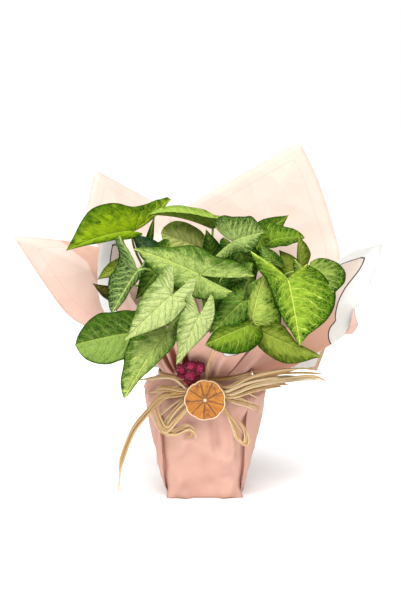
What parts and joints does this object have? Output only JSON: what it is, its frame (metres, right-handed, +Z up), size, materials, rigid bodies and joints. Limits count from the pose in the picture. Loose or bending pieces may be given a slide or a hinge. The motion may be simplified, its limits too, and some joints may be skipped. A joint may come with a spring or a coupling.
{
  "type": "gift-wrapped potted arrowhead plant",
  "caption": "Potted arrowhead plant with variegated leaves, wrapped in pink paper with a raffia bow, a dried orange slice and a crimson flower head; it stands on its flat base.",
  "frame": {"origin": "middle of the flat paper base under the pot, on the surface the plant stands on", "axes": "+Z up along the pot's axis, -Y out of the front where the knot is, +X to the right seen from the front"},
  "size_m": [0.3636, 0.2342, 0.3479],
  "materials": {
    "pot_plastic": "matte",
    "potting_soil": "matte",
    "leaf": "satin",
    "salmon_paper": "matte",
    "raffia": "matte",
    "dried_orange": "satin",
    "crimson_petals": "matte"
  },
  "bodies": {
    "root": {"pot": "pot_plastic", "soil": "potting_soil", "stem_left": "leaf", "stem_front": "leaf", "stem_back_left": "leaf", "stem_middle": "leaf", "stem_back": "leaf", "stem_front_right": "leaf", "stem_right": "leaf", "stem_back_right": "leaf", "wrap_main_sheet": "salmon_paper", "wrap_left_sheet": "salmon_paper", "wrap_right_sheet": "salmon_paper", "raffia_tie": "raffia", "orange_slice": "dried_orange", "crimson_flower": "crimson_petals"}
  },
  "joints": []
}
